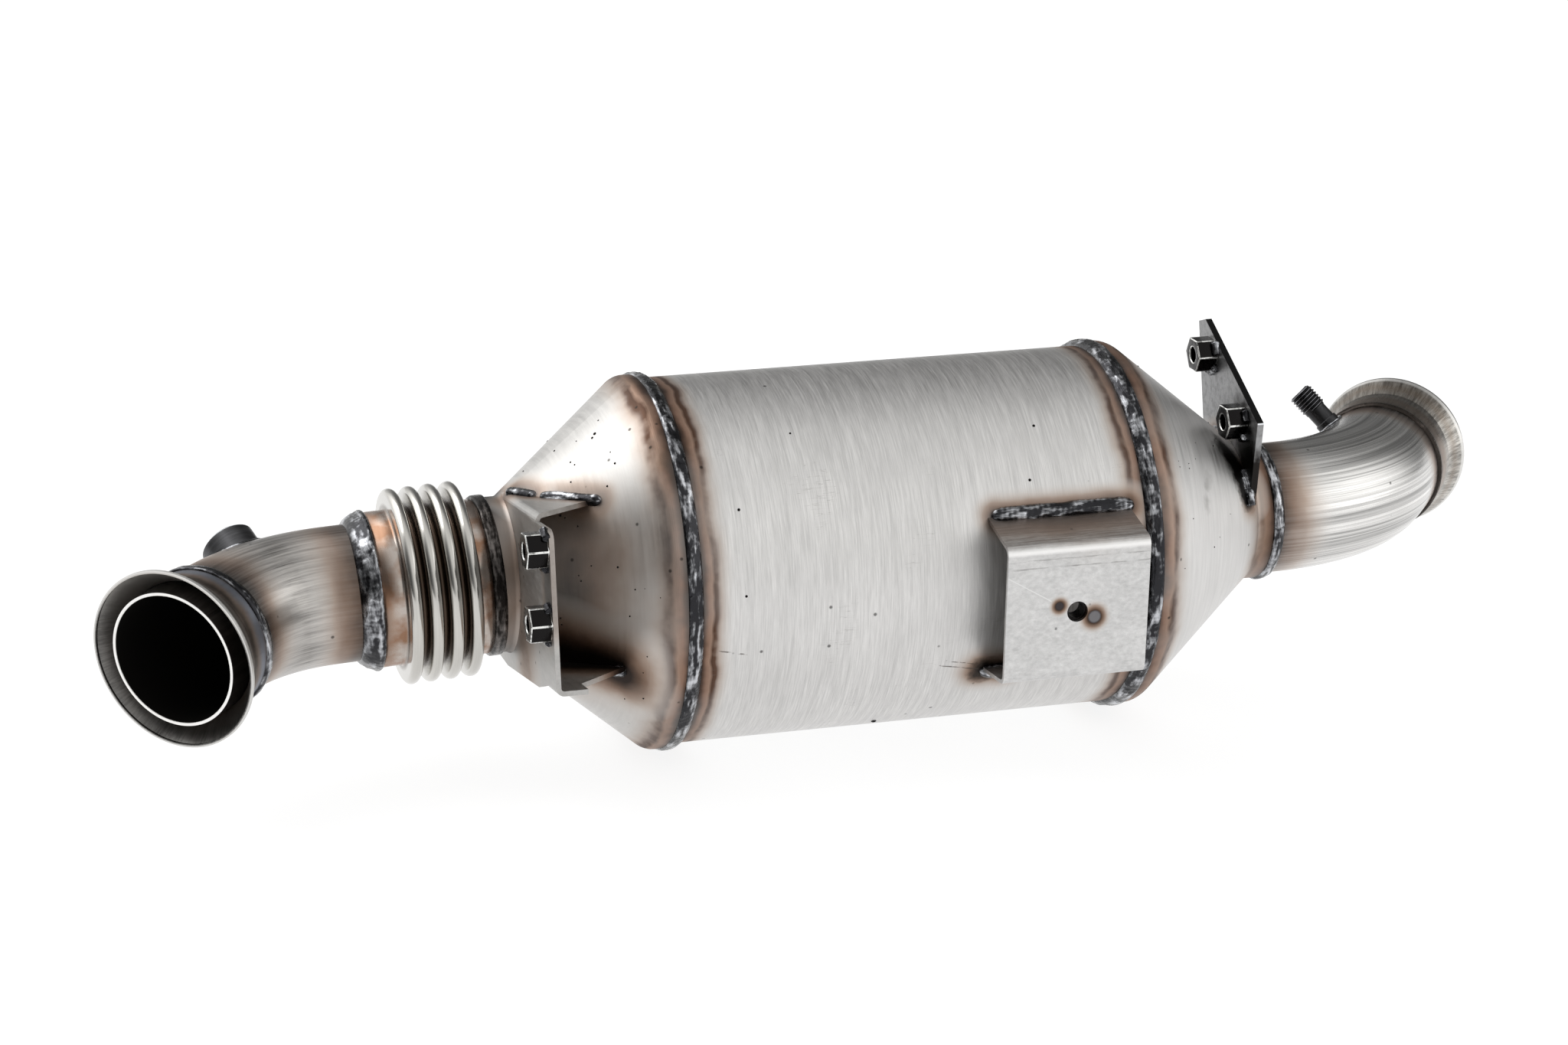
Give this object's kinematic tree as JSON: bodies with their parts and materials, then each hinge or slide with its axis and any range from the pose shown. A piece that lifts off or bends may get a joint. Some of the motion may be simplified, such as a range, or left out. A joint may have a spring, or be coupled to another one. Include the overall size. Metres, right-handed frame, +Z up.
{
  "type": "diesel particulate filter",
  "caption": "Exhaust particulate filter: cylindrical canister with tapered cones, a bellows and bent pipes that end in flared clamp collars, and sheet brackets with weld nuts.",
  "frame": {"origin": "centre of the inlet pipe's open end", "axes": "+X along the canister from inlet to outlet, +Z up as pictured, brackets facing -Y"},
  "size_m": [0.7798, 0.2316, 0.1979],
  "materials": {
    "stainless_sheet": "satin stainless sheet with heat tint beside the welds",
    "bright_stainless": "bright rolled stainless sheet",
    "dark_steel": "heat-darkened steel",
    "weld_bead": "dark rippled weld metal",
    "ceramic_brick": "matt porous ceramic",
    "fibre_mat": "felted ceramic fibre"
  },
  "bodies": {
    "root": {"inlet_flange": "dark_steel", "inlet_flange_weld": "weld_bead", "inlet_pipe_end": "stainless_sheet", "inlet_pipe_seat": "stainless_sheet", "inlet_pipe": "stainless_sheet", "sensor_boss": "dark_steel", "sensor_boss_weld": "weld_bead", "bellows_weld": "weld_bead", "bellows": "bright_stainless", "inlet_neck_weld": "weld_bead", "inlet_cone": "stainless_sheet", "inlet_bracket": "stainless_sheet", "inlet_bracket_nuts": "dark_steel", "inlet_bracket_welds": "weld_bead", "inlet_seam_weld": "weld_bead", "body_shell": "stainless_sheet", "filter_brick": "ceramic_brick", "support_mat": "fibre_mat", "side_bracket": "stainless_sheet", "side_bracket_nut": "dark_steel", "side_bracket_welds": "weld_bead", "outlet_seam_weld": "weld_bead", "outlet_cone": "stainless_sheet", "outlet_bracket": "stainless_sheet", "outlet_bracket_nuts": "dark_steel", "outlet_bracket_welds": "weld_bead", "outlet_neck_weld": "weld_bead", "outlet_pipe": "stainless_sheet", "outlet_flange": "stainless_sheet", "outlet_flange_weld": "weld_bead", "pressure_stub": "dark_steel", "pressure_stub_weld": "weld_bead"}
  },
  "joints": []
}
